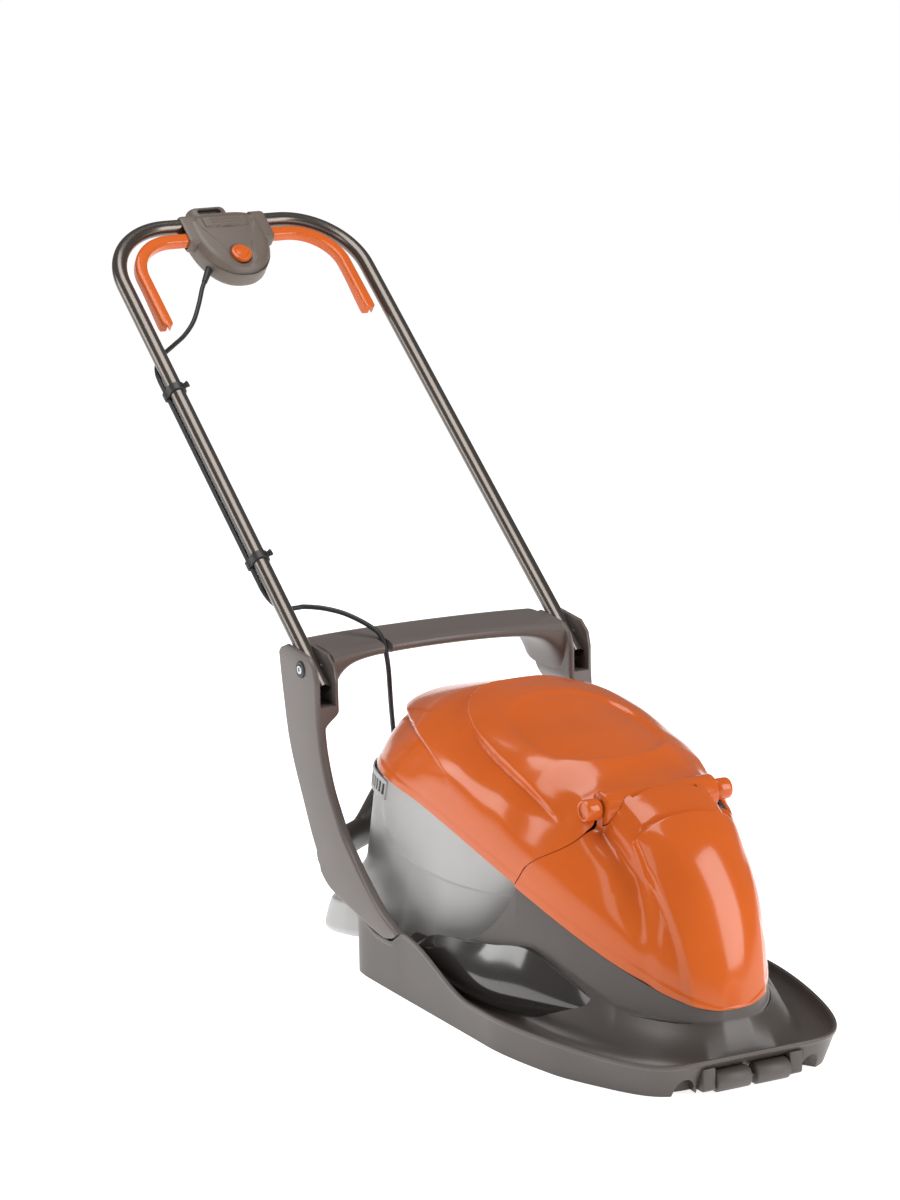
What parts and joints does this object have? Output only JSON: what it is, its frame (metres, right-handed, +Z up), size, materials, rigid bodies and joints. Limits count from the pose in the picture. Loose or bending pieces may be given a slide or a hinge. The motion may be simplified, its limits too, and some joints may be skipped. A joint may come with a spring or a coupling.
{
  "type": "hover mower",
  "caption": "Electric hover mower with a grass collector under a hinged lid, a folding tube handle, squeeze levers and front rollers.",
  "frame": {"origin": "middle of the length and width on the ground", "axes": "+Z up, front towards -Y, handle towards +Y, +X to the right seen from the front"},
  "size_m": [0.416, 1.3994, 0.8578],
  "materials": {
    "hood_plastic": "satin",
    "orange_plastic": "gloss",
    "box_plastic": "satin",
    "yoke_plastic": "satin",
    "gloss_dark": "gloss",
    "black_plastic": "satin",
    "switch_plastic": "satin",
    "steel": "brushed",
    "motor_paint": "satin",
    "tube_paint": "satin metallic",
    "cord_rubber": "matte"
  },
  "bodies": {
    "base": {"hood": "hood_plastic", "front_cover": "orange_plastic", "lid_hinge_pins": "steel", "grass_box": "box_plastic", "vent_grille": "black_plastic", "air_scoop_left": "gloss_dark", "air_scoop_right": "gloss_dark", "yoke_arm_left": "yoke_plastic", "yoke_arm_right": "yoke_plastic", "yoke_crossbar": "yoke_plastic", "handle_pivot_bolts": "steel", "rear_bar": "hood_plastic", "cable_gland": "black_plastic", "motor_plate": "black_plastic", "motor_can": "motor_paint", "motor_bearings": "steel", "motor_screws": "steel", "roller_axle": "steel", "cord_lower": "cord_rubber"},
    "lid": {"lid": "orange_plastic"},
    "rotor": {"motor_shaft": "steel", "impeller": "black_plastic", "blade_spacer": "black_plastic", "blade": "steel", "blade_bolt": "steel"},
    "roller_left": {"front_roller_left": "black_plastic"},
    "roller_right": {"front_roller_right": "black_plastic"},
    "handle": {"handle_tube": "tube_paint", "cable_clips": "black_plastic", "switch_box_front": "switch_plastic", "switch_box_rear": "switch_plastic", "switch_box_screws": "steel", "switch_unit": "black_plastic", "mains_inlet": "black_plastic", "cable_sleeve": "cord_rubber", "lever_pins": "steel", "cord_upper": "cord_rubber"},
    "squeeze_left": {"lever_left": "orange_plastic"},
    "squeeze_right": {"lever_right": "orange_plastic"},
    "button": {"start_button": "orange_plastic"}
  },
  "joints": [
    {"name": "handle_fold", "type": "hinge", "parent": "base", "child": "handle", "pos_m": [0, 0.03526, 0.361], "axis": [1, 0, 0], "range_deg": [0, 145]},
    {"name": "lid_hinge", "type": "hinge", "parent": "base", "child": "lid", "pos_m": [0, -0.47874, 0.291], "axis": [1, 0, 0], "range_deg": [0, 46]},
    {"name": "rotor_spin", "type": "hinge", "parent": "base", "child": "rotor", "pos_m": [0, -0.49174, 0.1], "axis": [0, 0, 1], "continuous": true},
    {"name": "roller_left_spin", "type": "hinge", "parent": "base", "child": "roller_left", "pos_m": [-0.027, -0.68674, 0.0135], "axis": [1, 0, 0], "continuous": true},
    {"name": "roller_right_spin", "type": "hinge", "parent": "base", "child": "roller_right", "pos_m": [0.027, -0.68674, 0.0135], "axis": [1, 0, 0], "continuous": true},
    {"name": "lever_left_squeeze", "type": "hinge", "parent": "handle", "child": "squeeze_left", "pos_m": [-0.042, 0.63424, 0.82061], "axis": [0, 0.6088, -0.7934], "range_deg": [0, 3.4], "stiffness_Nm_per_rad": 6},
    {"name": "lever_right_squeeze", "type": "hinge", "parent": "handle", "child": "squeeze_right", "pos_m": [0.042, 0.63424, 0.82061], "axis": [0, -0.6088, 0.7934], "range_deg": [0, 3.4], "stiffness_Nm_per_rad": 6},
    {"name": "start_button_press", "type": "slide", "parent": "handle", "child": "button", "axis": [0, 0.6088, -0.7934], "range_m": [0, 0.004], "stiffness_N_per_m": 400}
  ]
}
